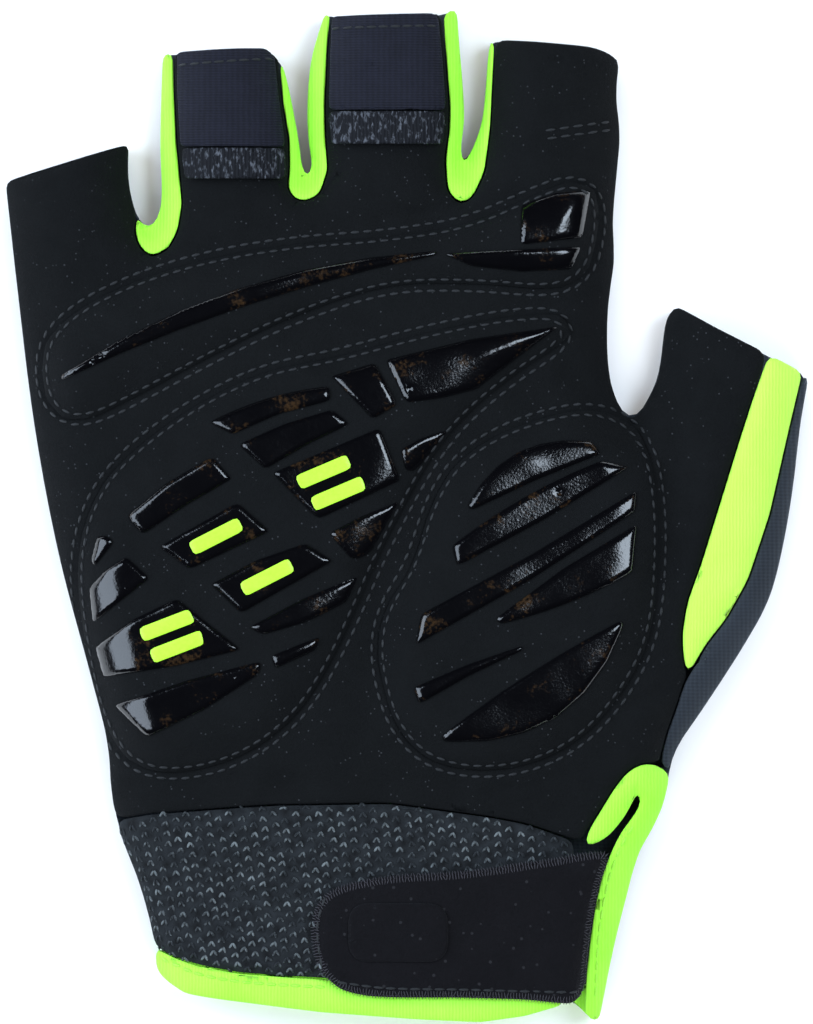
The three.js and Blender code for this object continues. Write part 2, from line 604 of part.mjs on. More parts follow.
const accentUnder = raised(printUnder.heel, printThickness + clearance);
const accentSheet = sheet(accentUnder, raised(accentUnder, accentThickness));
accentBars.forEach(([across, along, turn], index) => {
  const middle = place([across, along]);
  const angle = THREE.MathUtils.degToRad(turn);
  const corners = [[-1, -1], [1, -1], [1, 1], [-1, 1]].map(([side, end]) => {
    const corner = new THREE.Vector2((side * accentLength) / 2, (end * accentWidth) / 2);
    return corner.rotateAround(new THREE.Vector2(), angle).add(middle);
  });
  addPiece(`accent_bar_${index + 1}`, accentSheet.intersect(prism(corners)), "accent");
});

// Pull-off tabs, lifted at their free lower edge
for (const tab of tabs) {
  const freeY = place([0, tab.free]).y;
  const topY = place([0, tab.free + 0.13]).y;
  const lift = (point) => tabEdgeLift * THREE.MathUtils.clamp((topY - point.y) / (topY - freeY), 0, 1) ** 2;
  const under = (point) => palmOuter(point) + clearance + lift(point);
  const whole = sheet(under, raised(under, tabThickness)).intersect(prism(points2(openEdge)));
  const outline = points2([...tab.left, ...tab.right]);
  const body = whole.intersect(prism(outline));
  const bandZone = points2([[0, tab.band], [1, tab.band], [1, tab.free - 0.1], [0, tab.free - 0.1]]);
  addPiece(`${tab.name}_tab`, body.subtract(outset(bandZone)), "navy");
  addPiece(`${tab.name}_tab_edge`, body.intersect(inset(bandZone)), "navySpeck");
}

export default glove;
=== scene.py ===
# Fingerless cycling glove for the right hand, lying palm up: cloth, gel zones, silicone prints and thread
import math

import bmesh
import bpy
import numpy as np
from mathutils import Matrix, Vector, noise
from mathutils.bvhtree import BVHTree
from mathutils.kdtree import KDTree


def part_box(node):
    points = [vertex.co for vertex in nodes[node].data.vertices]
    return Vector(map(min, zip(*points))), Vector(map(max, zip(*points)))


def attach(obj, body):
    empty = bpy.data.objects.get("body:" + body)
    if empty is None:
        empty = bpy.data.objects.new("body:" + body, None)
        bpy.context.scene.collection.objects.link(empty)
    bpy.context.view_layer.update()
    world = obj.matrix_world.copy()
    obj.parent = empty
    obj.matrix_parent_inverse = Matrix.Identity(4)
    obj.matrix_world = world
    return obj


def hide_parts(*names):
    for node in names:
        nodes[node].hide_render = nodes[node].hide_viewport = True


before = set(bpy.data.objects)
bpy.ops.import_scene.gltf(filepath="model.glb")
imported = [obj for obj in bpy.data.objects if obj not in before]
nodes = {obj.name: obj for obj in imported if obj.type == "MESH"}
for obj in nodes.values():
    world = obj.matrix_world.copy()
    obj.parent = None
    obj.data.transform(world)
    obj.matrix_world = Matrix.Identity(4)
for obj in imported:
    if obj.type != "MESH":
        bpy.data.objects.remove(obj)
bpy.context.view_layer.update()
scene = bpy.context.scene
print("stage: frame loaded,", len(nodes), "nodes", flush=True)

# the glove's form, as in the part: metres
form = {
    "length": 0.173,
    "width": 0.137,
    "seamHeight": 0.0046,
    "tubeRise": 0.0054,
    "tubeReach": 0.0095,
    "domeRise": 0.002,
    "domeReach": 0.038,
    "backReach": 0.006,
    "roundness": 2.2,
    "palmWall": 0.0012,
    "backWall": 0.001,
    "gap": 0.0003,
    "overrun": 0.011,
    "proud": 0.0004,
}

# side seams and finger gaps: across from the little-finger edge, along from the hem
seamTables = {
    "littleSide": [
        (0.188, 0.050), (0.187, 0.072), (0.168, 0.133), (0.141, 0.189), (0.132, 0.227), (0.128, 0.271),
        (0.108, 0.335), (0.067, 0.458), (0.037, 0.583), (0.015, 0.722), (0.004, 0.800), (0.000, 0.828),
    ],
    "littleRing": [
        (0.153, 0.860), (0.152, 0.833), (0.157, 0.809), (0.165, 0.789), (0.180, 0.779), (0.192, 0.793),
        (0.195, 0.815), (0.193, 0.858), (0.194, 0.905), (0.196, 0.950),
    ],
    "ringMiddle": [
        (0.345, 0.943), (0.352, 0.922), (0.360, 0.890), (0.367, 0.858), (0.369, 0.838), (0.376, 0.829),
        (0.383, 0.838), (0.378, 0.862), (0.376, 0.900), (0.381, 0.947), (0.396, 0.988),
    ],
    "middleIndex": [
        (0.562, 0.999), (0.565, 0.962), (0.570, 0.915), (0.571, 0.880), (0.566, 0.856), (0.572, 0.842),
        (0.580, 0.856), (0.592, 0.880), (0.597, 0.907), (0.600, 0.940), (0.603, 0.965),
    ],
    "thumbCrotch": [
        (0.764, 0.943), (0.760, 0.912), (0.765, 0.873), (0.761, 0.835), (0.756, 0.784), (0.758, 0.750),
        (0.751, 0.710), (0.749, 0.666), (0.754, 0.626), (0.768, 0.599), (0.784, 0.586), (0.794, 0.606),
        (0.809, 0.622), (0.818, 0.658), (0.822, 0.690), (0.831, 0.706),
    ],
    "thumbSide": [
        (1.000, 0.634), (0.990, 0.590), (0.980, 0.523), (0.967, 0.464), (0.950, 0.414), (0.915, 0.364),
        (0.871, 0.310), (0.829, 0.258), (0.823, 0.222), (0.806, 0.190), (0.788, 0.165), (0.774, 0.125),
        (0.758, 0.075), (0.740, 0.004),
    ],
}


def place(across, along):
    return ((across - 0.5) * form["width"], (along - 0.5) * form["length"])


def smoothLine(table, steps=6):
    # a centripetal curve through the places, as many steps between each two
    knots = np.array([place(*row) for row in table])
    ends = np.vstack([2 * knots[0] - knots[1], knots, 2 * knots[-1] - knots[-2]])
    found = []
    for a, b, c, d in zip(ends, ends[1:], ends[2:], ends[3:]):
        tb = np.linalg.norm(b - a) ** 0.5
        tc = tb + np.linalg.norm(c - b) ** 0.5
        td = tc + np.linalg.norm(d - c) ** 0.5
        t = np.linspace(tb, tc, steps, endpoint=False)[:, None]
        ab = (tb - t) / tb * a + t / tb * b
        bc = (tc - t) / (tc - tb) * b + (t - tb) / (tc - tb) * c
        cd = (td - t) / (td - tc) * c + (t - tc) / (td - tc) * d
        abc = (tc - t) / tc * ab + t / tc * bc
        bcd = (td - t) / (td - tb) * bc + (t - tb) / (td - tb) * cd
        found.append((tc - t) / (tc - tb) * abc + (t - tb) / (tc - tb) * bcd)
    return np.vstack([*found, knots[-1:]])


def carriedOn(line):
    # straight past both ends
    first = line[0] + (line[0] - line[1]) / np.linalg.norm(line[0] - line[1]) * form["overrun"]
    last = line[-1] + (line[-1] - line[-2]) / np.linalg.norm(line[-1] - line[-2]) * form["overrun"]
    return np.vstack([first, line, last])


seamLines = [carriedOn(smoothLine(table)) for table in seamTables.values()]
seamStarts = np.vstack([line[:-1] for line in seamLines])
seamEnds = np.vstack([line[1:] for line in seamLines])


def distanceTo(xy, starts, ends):
    # how far each point is from the nearest of the segments
    run = ends - starts
    size = np.maximum((run ** 2).sum(1), 1e-16)
    found = np.empty(len(xy))
    for low in range(0, len(xy), 3000):
        part = xy[low:low + 3000, None]
        share = np.clip(((part - starts) * run).sum(2) / size, 0, 1)
        found[low:low + 3000] = np.sqrt(((part - starts - share[..., None] * run) ** 2).sum(2).min(1))
    return found


def seamDepth(xy):
    return distanceTo(xy, seamStarts, seamEnds)


def rounded(share):
    return 1 - (1 - np.clip(share, 0, 1)) ** form["roundness"]


def slant(depth, rise, reach):
    slope = form["roundness"] * rise * (1 - np.clip(depth / reach, 0, 1)) ** (form["roundness"] - 1) / reach
    return np.hypot(1, slope)


# folds of the palm side: start, end, half width and depth in shares of the length
folds = [
    ((0.470, 0.786), (0.640, 0.808), 0.012, 0.006),
    ((0.838, 0.610), (0.822, 0.440), 0.014, 0.008),
    ((0.120, 0.225), (0.560, 0.232), 0.016, 0.005),
    ((0.700, 0.640), (0.790, 0.570), 0.014, 0.006),
    ((0.452, 0.300), (0.470, 0.440), 0.020, 0.006),
]
# finer creases of the cloth, in the same columns
creases = [
    ((0.868, 0.600), (0.846, 0.470), 0.005, 0.0024),
    ((0.815, 0.560), (0.835, 0.420), 0.006, 0.0022),
    ((0.480, 0.800), (0.545, 0.785), 0.005, 0.0022),
    ((0.220, 0.790), (0.330, 0.800), 0.006, 0.0016),
    ((0.060, 0.770), (0.140, 0.745), 0.007, 0.0016),
    ((0.640, 0.880), (0.740, 0.872), 0.006, 0.0014),
    ((0.150, 0.235), (0.300, 0.240), 0.005, 0.0016),
    ((0.600, 0.225), (0.700, 0.240), 0.006, 0.0020),
    ((0.760, 0.300), (0.820, 0.330), 0.006, 0.0024),
    ((0.870, 0.660), (0.930, 0.590), 0.006, 0.0016),
]


def waves(xy, scale, seed):
    return np.array([noise.noise(Vector((x * scale, y * scale, seed))) for x, y in xy])


def unevenness(xy, depth):
    total = np.zeros(len(xy))
    for start, end, width, sink in folds + creases:
        away = distanceTo(xy, np.array([place(*start)]), np.array([place(*end)]))
        total += sink * form["length"] * np.exp(-((away / (width * form["length"])) ** 2))
    total -= 0.00035 * waves(xy, 70, 1.5) + 0.00012 * waves(xy, 210, 7.5)
    return total * rounded(depth / form["tubeReach"])


def palmInner(xy, depth):
    tube = form["tubeRise"] * rounded(depth / form["tubeReach"])
    dome = form["domeRise"] * (0.5 - 0.5 * np.cos(np.pi * np.clip(depth / form["domeReach"], 0, 1)))
    return form["seamHeight"] + form["gap"] / 2 + tube + dome - unevenness(xy, depth)


def palmOuter(xy, depth):
    return palmInner(xy, depth) + form["palmWall"] * slant(depth, form["tubeRise"], form["tubeReach"])


def backOuter(xy, depth):
    lift = form["backWall"] * slant(0, form["seamHeight"], form["backReach"])
    return (form["seamHeight"] - form["gap"] / 2 - lift) * (1 - rounded(depth / form["backReach"]))


def backInner(xy, depth):
    return backOuter(xy, depth) + form["backWall"] * slant(depth, form["seamHeight"], form["backReach"])


print("stage: form ready", flush=True)


# mesh work on the copied panels

def facesUp(face):
    return face.normal.z > 0.15


def isWall(face):
    return abs(face.normal.z) <= 0.15


def mergedCopy(name):
    bm = bmesh.new()
    bm.from_mesh(nodes[name].data)
    bmesh.ops.remove_doubles(bm, verts=bm.verts, dist=2e-6)
    bmesh.ops.remove_doubles(bm, verts=bm.verts, dist=0.00035)
    bmesh.ops.dissolve_degenerate(bm, edges=bm.edges, dist=0.00005)
    bmesh.ops.triangulate(bm, faces=bm.faces)
    bm.normal_update()
    return bm


def upperRim(bm):
    return [e for e in bm.edges if len(e.link_faces) == 2 and facesUp(e.link_faces[0]) != facesUp(e.link_faces[1])]


def rimLoop(bm):
    # the longest rim of the upper face, in order and anticlockwise
    ties = {}
    for edge in upperRim(bm):
        a, b = edge.verts
        ties.setdefault(a, []).append(b)
        ties.setdefault(b, []).append(a)
    best = []
    seen = set()
    for start in ties:
        if start in seen:
            continue
        loop = [start]
        seen.add(start)
        while True:
            ahead = [v for v in ties[loop[-1]] if v not in seen]
            if not ahead:
                break
            loop.append(ahead[0])
            seen.add(ahead[0])
        if len(loop) > len(best):
            best = loop
    line = np.array([v.co.xy for v in best])
    after = np.roll(line, -1, axis=0)
    area = (line[:, 0] * after[:, 1] - after[:, 0] * line[:, 1]).sum()
    return line if area > 0 else line[::-1]


def evenly(line, pitch, closed=True):
    ends = np.vstack([line, line[:1]]) if closed else line
    along = np.concatenate([[0], np.cumsum(np.linalg.norm(np.diff(ends, axis=0), axis=1))])
    count = max(2, round(along[-1] / pitch))
    at = np.linspace(0, along[-1], count + (not closed), endpoint=not closed)
    return np.stack([np.interp(at, along, ends[:, k]) for k in range(2)], axis=1)


def softened(line, times):
    for _ in range(times):
        line = line * 0.5 + (np.roll(line, 1, axis=0) + np.roll(line, -1, axis=0)) * 0.25
    return line


def outlineOf(name, pitch=0.001, times=8):
    bm = mergedCopy(name)
    loop = softened(evenly(rimLoop(bm), pitch), times)
    bm.free()
    return loop


def beside(line, distance, closed=True):
    # the line moved to its right by a distance: outwards, if it runs anticlockwise
    if closed:
        run = np.roll(line, -1, axis=0) - np.roll(line, 1, axis=0)
    else:
        run = np.gradient(line, axis=0)
    run /= np.linalg.norm(run, axis=1)[:, None]
    return line + distance * np.stack([run[:, 1], -run[:, 0]], axis=1)


def softenRim(points, bm, times, fade):
    # corners of the cut outline are eased in plan, and what lies near the rim follows
    rim = upperRim(bm)
    pairs = np.array([[e.verts[0].index, e.verts[1].index] for e in rim])
    xy = points[:, :2].copy()
    counts = np.bincount(pairs.ravel(), minlength=len(points))
    plain = counts == 2
    for _ in range(times):
        total = np.zeros_like(xy)
        np.add.at(total, pairs[:, 0], xy[pairs[:, 1]])
        np.add.at(total, pairs[:, 1], xy[pairs[:, 0]])
        xy[plain] = xy[plain] * 0.5 + total[plain] * 0.25
    on = np.flatnonzero(counts > 0)
    tree = KDTree(len(on))
    for i in on:
        tree.insert((points[i, 0], points[i, 1], 0), int(i))
    tree.balance()
    moved = xy - points[:, :2]
    result = points[:, :2].copy()
    for i, (x, y) in enumerate(points[:, :2]):
        _, nearest, away = tree.find((x, y, 0))
        if away < fade:
            result[i] += moved[nearest] * (1 - away / fade)
    return result, pairs


def finished(name, bm, finish, node=None):
    mesh = bpy.data.meshes.new(name)
    bm.to_mesh(mesh)
    bm.free()
    mesh.validate()
    mesh.polygons.foreach_set("use_smooth", [True] * len(mesh.polygons))
    if node:
        mesh.set_sharp_from_angle(angle=math.radians(50))
    piece = bpy.data.objects.new(name, mesh)
    scene.collection.objects.link(piece)
    mesh.materials.append(finish)
    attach(piece, "root")
    if node:
        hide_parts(node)
    return piece


def layered(name, node, finish, bottom, top, step=0.0017, bevel=0.0003, times=2, fade=0.003):
    # a panel between two heights: the part's own outline, divided finely and set to the smooth heights
    bm = mergedCopy(node)
    level = bm.verts.layers.float.new("level")
    for vert in bm.verts:
        pull = sum(f.normal.z * f.calc_area() for f in vert.link_faces if not isWall(f))
        vert[level] = 1 if pull > 0 else 0
    for _ in range(4):
        long = [e for e in bm.edges if e.calc_length() > step]
        bmesh.ops.subdivide_edges(bm, edges=long, cuts=1)
        bmesh.ops.triangulate(bm, faces=[f for f in bm.faces if len(f.verts) > 3])
    if bevel:
        # a ring of faces inside the upper rim, so that the edge can fall away
        known = set(bm.verts)
        upper = [f for f in bm.faces if facesUp(f)]
        bmesh.ops.inset_region(bm, faces=upper, thickness=bevel, use_boundary=True, use_even_offset=False)
        for vert in set(bm.verts) - known:
            vert[level] = 1
    bm.normal_update()
    bm.verts.index_update()
    points = np.array([v.co for v in bm.verts])
    share = np.array([v[level] for v in bm.verts])
    xy, pairs = softenRim(points, bm, times, fade)
    depth = seamDepth(xy)
    rim = distanceTo(xy, xy[pairs[:, 0]], xy[pairs[:, 1]])
    low = bottom(xy, depth, rim)
    high = top(xy, depth, rim) - 0.8 * bevel * np.exp(-((rim / 0.0001) ** 2))
    height = low + (high - low) * share
    for vert, (x, y), z in zip(bm.verts, xy, height):
        vert.co = (x, y, z)
    return finished(name, bm, finish, node)


# shader work

class Wire:
    # one socket of a finish, so that shader maths reads as sums
    def __init__(self, finish, socket):
        self.finish, self.socket = finish, socket

    def combined(self, operation, other, swapped=False):
        first, second = (other, self) if swapped else (self, other)
        return self.finish.node("ShaderNodeMath", {"operation": operation}, {0: first, 1: second})

    def __add__(self, other):
        return self.combined("ADD", other)

    def __sub__(self, other):
        return self.combined("SUBTRACT", other)

    def __rsub__(self, other):
        return self.combined("SUBTRACT", other, True)

    def __mul__(self, other):
        return self.combined("MULTIPLY", other)

    def __gt__(self, other):
        return self.combined("GREATER_THAN", other)

    def __lt__(self, other):
        return self.combined("LESS_THAN", other)

    def __pow__(self, other):
        return self.combined("POWER", other)

    __radd__ = __add__
    __rmul__ = __mul__


class Finish:
    def __init__(self, name):
        self.material = bpy.data.materials.new(name)
        self.material.use_nodes = True
        self.tree = self.material.node_tree
        self.tree.nodes.clear()
        self.where = self.node("ShaderNodeTexCoord", output="Object")

    def node(self, kind, settings=None, inputs=None, output=0):
        made = self.tree.nodes.new(kind)
        for key, value in (settings or {}).items():
            if key == "stops":
                for index, (position, shade) in enumerate(value):
                    stops = made.color_ramp.elements
                    stop = stops[index] if index < 2 else stops.new(position)
                    stop.position = position
                    stop.color = (shade, shade, shade, 1)
            else:
                setattr(made, key, value)
        for key, value in (inputs or {}).items():
            if isinstance(value, Wire):
                self.tree.links.new(value.socket, made.inputs[key])
            else:
                made.inputs[key].default_value = value
        return Wire(self, made.outputs[output])

    def stretched(self, scale, turn=0):
        return self.node("ShaderNodeMapping", {}, {"Vector": self.where, "Scale": scale, "Rotation": (0, 0, turn)})

    def grain(self, scale, detail=2.0, rough=0.5, where=None):
        return self.node("ShaderNodeTexNoise", {}, {
            "Vector": where or self.where, "Scale": scale, "Detail": detail, "Roughness": rough,
        })

    def cells(self, scale, where=None, output="Distance"):
        return self.node("ShaderNodeTexVoronoi", {}, {"Vector": where or self.where, "Scale": scale}, output)

    def ribs(self, scale, direction="X", distortion=0.0, where=None):
        return self.node("ShaderNodeTexWave", {"bands_direction": direction}, {
            "Vector": where or self.where, "Scale": scale, "Distortion": distortion, "Detail": 1.0,
        })

    def ramp(self, value, stops):
        return self.node("ShaderNodeValToRGB", {"stops": stops}, {"Fac": value})

    def mixed(self, factor, first, second):
        return self.node("ShaderNodeMix", {"data_type": "RGBA"}, {0: factor, 6: first, 7: second}, 2)

    def bump(self, height, distance, strength=1.0, under=None):
        inputs = {"Height": height, "Distance": distance, "Strength": strength}
        if under:
            inputs["Normal"] = under
        return self.node("ShaderNodeBump", {}, inputs)

    def surface(self, **sockets):
        names = {
            "color": "Base Color", "roughness": "Roughness", "normal": "Normal", "ior": "IOR",
            "coat": "Coat Weight", "coatRoughness": "Coat Roughness", "sheen": "Sheen Weight",
            "sheenRoughness": "Sheen Roughness", "sheenTint": "Sheen Tint", "specular": "Specular IOR Level",
        }
        shader = self.node("ShaderNodeBsdfPrincipled", {}, {names[key]: value for key, value in sockets.items()})
        self.node("ShaderNodeOutputMaterial", {}, {"Surface": shader}, 0) if False else self.output(shader)
        return self.material

    def output(self, shader):
        end = self.tree.nodes.new("ShaderNodeOutputMaterial")
        self.tree.links.new(shader.socket, end.inputs["Surface"])


def tone(red, green, blue):
    # a colour read from the screen, as light
    return tuple(((c / 255 + 0.055) / 1.055) ** 2.4 if c > 10 else c / 255 / 12.92 for c in (red, green, blue)) + (1,)


def suedeFinish():
    look = {"dark": tone(4, 5, 6), "pale": tone(17, 19, 21), "speck": tone(58, 61, 65), "sheen": 0.02}
    finish = Finish("suede")
    nap = finish.grain(2300, 4, 0.7)
    cloud = finish.grain(140, 4, 0.6)
    dust = (finish.cells(900) < 0.13) * (finish.grain(260, 2) > 0.5)
    color = finish.mixed(nap * 0.6 + cloud * 0.55 - 0.1, look["dark"], look["pale"])
    color = finish.mixed(dust * 0.55, color, look["speck"])
    normal = finish.bump(nap * 0.8 + cloud * 0.7, 0.0003, 0.9)
    return finish.surface(
        color=color, roughness=0.93, normal=normal, specular=0.16,
        sheen=look["sheen"], sheenRoughness=0.45, sheenTint=tone(150, 165, 180),
    )


def stretchFinish():
    look = {"dark": tone(24, 29, 36), "pale": tone(44, 51, 60), "sheen": 0.25}
    finish = Finish("stretch")
    knit = finish.ribs(420, "X", 0.6) * 0.5 + finish.ribs(520, "Y", 0.6) * 0.5
    cloud = finish.grain(90, 3)
    color = finish.mixed(knit * 0.6 + cloud * 0.5 - 0.1, look["dark"], look["pale"])
    return finish.surface(
        color=color, roughness=0.8, normal=finish.bump(knit, 0.0001, 0.7), specular=0.3,
        sheen=look["sheen"], sheenRoughness=0.4, sheenTint=tone(170, 185, 200),
    )


def neonFinish(name, bright, deep):
    finish = Finish(name)
    rib = finish.ribs(560, "X", 1.2)
    fine = finish.grain(1500, 3, 0.6)
    cloud = finish.grain(110, 3)
    color = finish.mixed(cloud * 0.7 + rib * 0.25 + fine * 0.25 - 0.15, deep, bright)
    return finish.surface(
        color=color, roughness=0.72, normal=finish.bump(rib * 0.6 + fine * 0.5, 0.00012, 0.7), specular=0.3,
        sheen=0.25, sheenRoughness=0.5, sheenTint=tone(220, 255, 150),
    )


def siliconeFinish():
    # the warm brown tone is a painted reflection on the silicone tops, not a colour of the silicone
    look = {"black": tone(6, 6, 8), "paintedReflection": tone(46, 33, 20)}
    finish = Finish("silicone")
    peel = finish.grain(1300, 3, 0.6)
    pits = finish.cells(2600)
    cloud = finish.grain(180, 3)
    # painted reflection: brown speckled patches mixed into the base colour where the noise is high
    paintedReflectionMask = finish.ramp(cloud * 0.75 + finish.grain(1700, 2) * 0.4, [(0.67, 0), (0.78, 1)])
    color = finish.mixed(paintedReflectionMask, look["black"], look["paintedReflection"])
    roughness = cloud * 0.12 + peel * 0.08 + 0.05
    return finish.surface(
        color=color, roughness=roughness, normal=finish.bump(peel * 0.8 + pits * 0.35, 0.00007, 0.55),
        ior=1.48, coat=0.25, coatRoughness=0.08,
    )


def accentFinish():
    finish = Finish("accentPrint")
    fine = finish.grain(1400, 2)
    color = finish.mixed(fine, tone(158, 228, 40), tone(176, 240, 62))
    return finish.surface(color=color, roughness=0.42, normal=finish.bump(fine, 0.00004, 0.6))


def tabFinish():
    look = {"dark": tone(7, 8, 15), "pale": tone(27, 29, 44)}
    finish = Finish("tabWeave")
    rib = finish.ribs(700, "Y", 0.5)
    columns = finish.ribs(330, "X", 1.5)
    cloud = finish.grain(240, 4, 0.7)
    color = finish.mixed(rib * 0.35 + columns * 0.25 + cloud * 0.6 - 0.15, look["dark"], look["pale"])
    return finish.surface(
        color=color, roughness=0.82, normal=finish.bump(rib * 0.7 + columns * 0.3 + cloud * 0.4, 0.00014, 0.9),
        specular=0.3, sheen=0.08, sheenRoughness=0.4, sheenTint=tone(150, 160, 200),
    )


def speckFinish():
    look = {"dark": tone(12, 14, 20), "pale": tone(92, 98, 108)}
    finish = Finish("tabSpeck")
    threads = finish.grain(1, 3, 0.6, finish.stretched((1900, 700, 900)))
    dashes = finish.ramp(threads, [(0.52, 0), (0.66, 1)])
    rib = finish.ribs(520, "X", 2)
    color = finish.mixed(dashes * 0.7, look["dark"], look["pale"])
    return finish.surface(color=color, roughness=0.85, normal=finish.bump(dashes + rib * 0.5, 0.00022, 0.9), specular=0.3)


def meshClothFinish():
    finish = Finish("meshCloth")
    holes = finish.cells(560)
    fine = finish.grain(1800, 3, 0.7)
    color = finish.mixed(holes * 0.8 + fine * 0.5 - 0.2, tone(9, 10, 12), tone(34, 38, 42))
    return finish.surface(
        color=color, roughness=0.95, normal=finish.bump(holes * 0.8 + fine * 0.4, 0.0003, 0.9), specular=0.2,
        sheen=0.08, sheenRoughness=0.5, sheenTint=tone(150, 165, 175),
    )


def loopYarnFinish():
    finish = Finish("loopYarn")
    patch = finish.grain(380, 2, 0.7)
    fine = finish.grain(2600, 2)
    color = finish.mixed(finish.ramp(patch * 0.8 + fine * 0.25, [(0.48, 0), (0.68, 1)]), tone(24, 28, 32), tone(96, 104, 108))
    return finish.surface(
        color=color, roughness=0.8, normal=finish.bump(fine, 0.0001, 0.8), specular=0.3,
        sheen=0.1, sheenRoughness=0.5, sheenTint=tone(190, 205, 215),
    )


def strapFinish():
    look = {"dark": tone(5, 5, 7), "pale": tone(21, 20, 24), "speck": tone(54, 55, 59)}
    finish = Finish("strapPile")
    pile = finish.grain(1700, 5, 0.75)
    cloud = finish.grain(170, 4, 0.6)
    lint = finish.cells(480) < 0.13
    color = finish.mixed(pile * 0.7 + cloud * 0.4 - 0.15, look["dark"], look["pale"])
    color = finish.mixed(lint * 0.35, color, look["speck"])
    return finish.surface(
        color=color, roughness=0.95, normal=finish.bump(pile + cloud * 0.5, 0.0003, 0.9), specular=0.14,
        sheen=0.08, sheenRoughness=0.5, sheenTint=tone(160, 165, 175),
    )


def threadFinish(name, color, pale):
    finish = Finish(name)
    twist = finish.grain(3000, 2)
    return finish.surface(
        color=finish.mixed(twist, color, pale), roughness=0.7, normal=finish.bump(twist, 0.00006, 0.7),
        sheen=0.08, sheenTint=tone(180, 190, 200),
    )


finishes = {
    "suede": suedeFinish(),
    "stretch": stretchFinish(),
    "neon": neonFinish("neonCloth", tone(172, 252, 82), tone(134, 226, 44)),
    "neonStripe": neonFinish("neonStripe", tone(184, 246, 92), tone(168, 236, 70)),
    "silicone": siliconeFinish(),
    "accent": accentFinish(),
    "tab": tabFinish(),
    "speck": speckFinish(),
    "meshCloth": meshClothFinish(),
    "loopYarn": loopYarnFinish(),
    "strap": strapFinish(),
    "thread": threadFinish("threadDark", tone(9, 10, 12), tone(30, 33, 36)),
    "fuzz": threadFinish("edgeFuzz", tone(26, 25, 30), tone(66, 64, 72)),
    "neonThread": threadFinish("threadNeon", tone(120, 200, 40), tone(170, 240, 80)),
}
print("stage: finishes ready", flush=True)

# palm side panels
sewn = {"sink": 0.0004, "reach": 0.0009}


def sewnEdge(rim):
    return sewn["sink"] * np.exp(-((rim / sewn["reach"]) ** 2))


padNodes = ["knuckle_pad", "heel_pad", "thumb_pad"]
padLoops = {name: outlineOf(name) for name in padNodes}


def channel(xy):
    # the stitched groove round each gel zone
    found = np.full(len(xy), 1.0)
    for loop in padLoops.values():
        found = np.minimum(found, distanceTo(xy, loop, np.roll(loop, -1, axis=0)))
    return 0.0003 * np.exp(-((found / 0.0011) ** 2))


def palmLow(xy, depth, rim):
    return palmInner(xy, depth)


def palmHigh(xy, depth, rim):
    return palmOuter(xy, depth) - sewnEdge(rim)


def palmStitched(xy, depth, rim):
    return palmHigh(xy, depth, rim) - channel(xy)


def bindingLow(xy, depth, rim):
    return palmInner(xy, depth) - form["proud"] * np.clip(depth / 0.003, 0, 1)


def bindingHigh(xy, depth, rim):
    return palmOuter(xy, depth) + form["proud"] - sewnEdge(rim) * 0.9


panels = [
    ("suedePalm", "palm_panel", "suede", "suede", palmLow, palmStitched),
    ("gapLittleRing", "fourchette_little_ring", "neon", "neon", palmLow, palmHigh),
    ("gapRingMiddle", "fourchette_ring_middle", "neon", "neon", palmLow, palmHigh),
    ("gapMiddleIndex", "fourchette_middle_index", "neon", "neon", palmLow, palmHigh),
    ("stripeOnThumb", "thumb_stripe", "neonStripe", "neon_stripe", palmLow, palmHigh),
    ("backOfThumb", "thumb_back", "stretch", "stretch", palmLow, palmHigh),
    ("cuffCloth", "cuff_mesh", "meshCloth", "knit", palmLow, palmHigh),
    ("hemUpper", "hem_binding_palm", "neon", "neon", bindingLow, bindingHigh),
    ("slitEdge", "slit_binding", "neon", "neon", bindingLow, bindingHigh),
]
made = {}
for name, node, finish, slotName, low, high in panels:
    made[name] = layered(name, node, finishes[finish], low, high)
print("stage: palm side panels", flush=True)

# back of the hand
made["backCloth"] = layered(
    "backCloth", "back_panel", finishes["stretch"],
    lambda xy, depth, rim: backOuter(xy, depth),
    lambda xy, depth, rim: backInner(xy, depth),
    step=0.0024, bevel=0.00025,
)
made["hemLower"] = layered(
    "hemLower", "hem_binding_back", finishes["neon"],
    lambda xy, depth, rim: backOuter(xy, depth),
    lambda xy, depth, rim: backInner(xy, depth) + form["proud"] * np.clip(depth / 0.003, 0, 1),
    bevel=0.00025,
)
print("stage: back of the hand", flush=True)

# gel zones: the cloth swells from the stitched outline
pad = {"base": 0.00022, "rise": 0.0023, "rim": 0.0085}


def padHeight(name, xy, depth):
    loop = padLoops[name]
    inward = distanceTo(xy, loop, np.roll(loop, -1, axis=0))
    return palmOuter(xy, depth) + pad["base"] + pad["rise"] * rounded(inward / pad["rim"])


for name in padNodes:
    title = name.replace("_pad", "Gel")
    made[title] = layered(
        title, name, finishes["suede"],
        lambda xy, depth, rim: palmOuter(xy, depth) + 0.00004,
        lambda xy, depth, rim, name=name: padHeight(name, xy, depth),
        bevel=0,
    )
print("stage: gel zones", flush=True)

